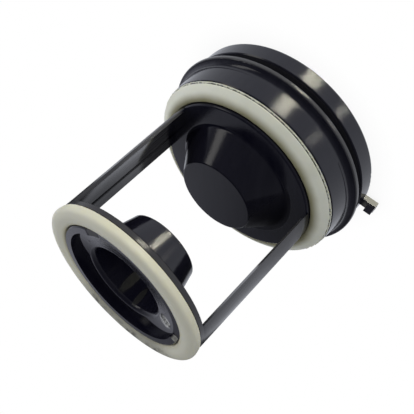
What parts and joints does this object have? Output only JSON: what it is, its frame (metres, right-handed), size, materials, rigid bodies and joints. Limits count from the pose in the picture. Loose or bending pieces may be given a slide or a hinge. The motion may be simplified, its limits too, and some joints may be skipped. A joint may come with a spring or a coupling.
{
  "type": "washer pump filter",
  "caption": "Washing machine drain pump filter: round cap with a recessed finger grip, side arms to an open ring end with a conical spigot, and soft white sealing rings.",
  "frame": {"origin": "centre of the cap's front face, on the finger grip and on the filter's axis", "axes": "+Z along the filter's axis, from the cap's front to the ring end; +X towards the near edge of the first side arm"},
  "size_m": [0.0673, 0.0672, 0.072],
  "materials": {
    "black_plastic": "satin moulded black plastic with soft gloss and fine handling marks",
    "white_rubber": "milky off-white rubber, slightly yellowed, with grey marks"
  },
  "bodies": {
    "root": {"filter_body": "black_plastic", "cap_seal": "white_rubber", "ring_seal": "white_rubber"}
  },
  "joints": []
}
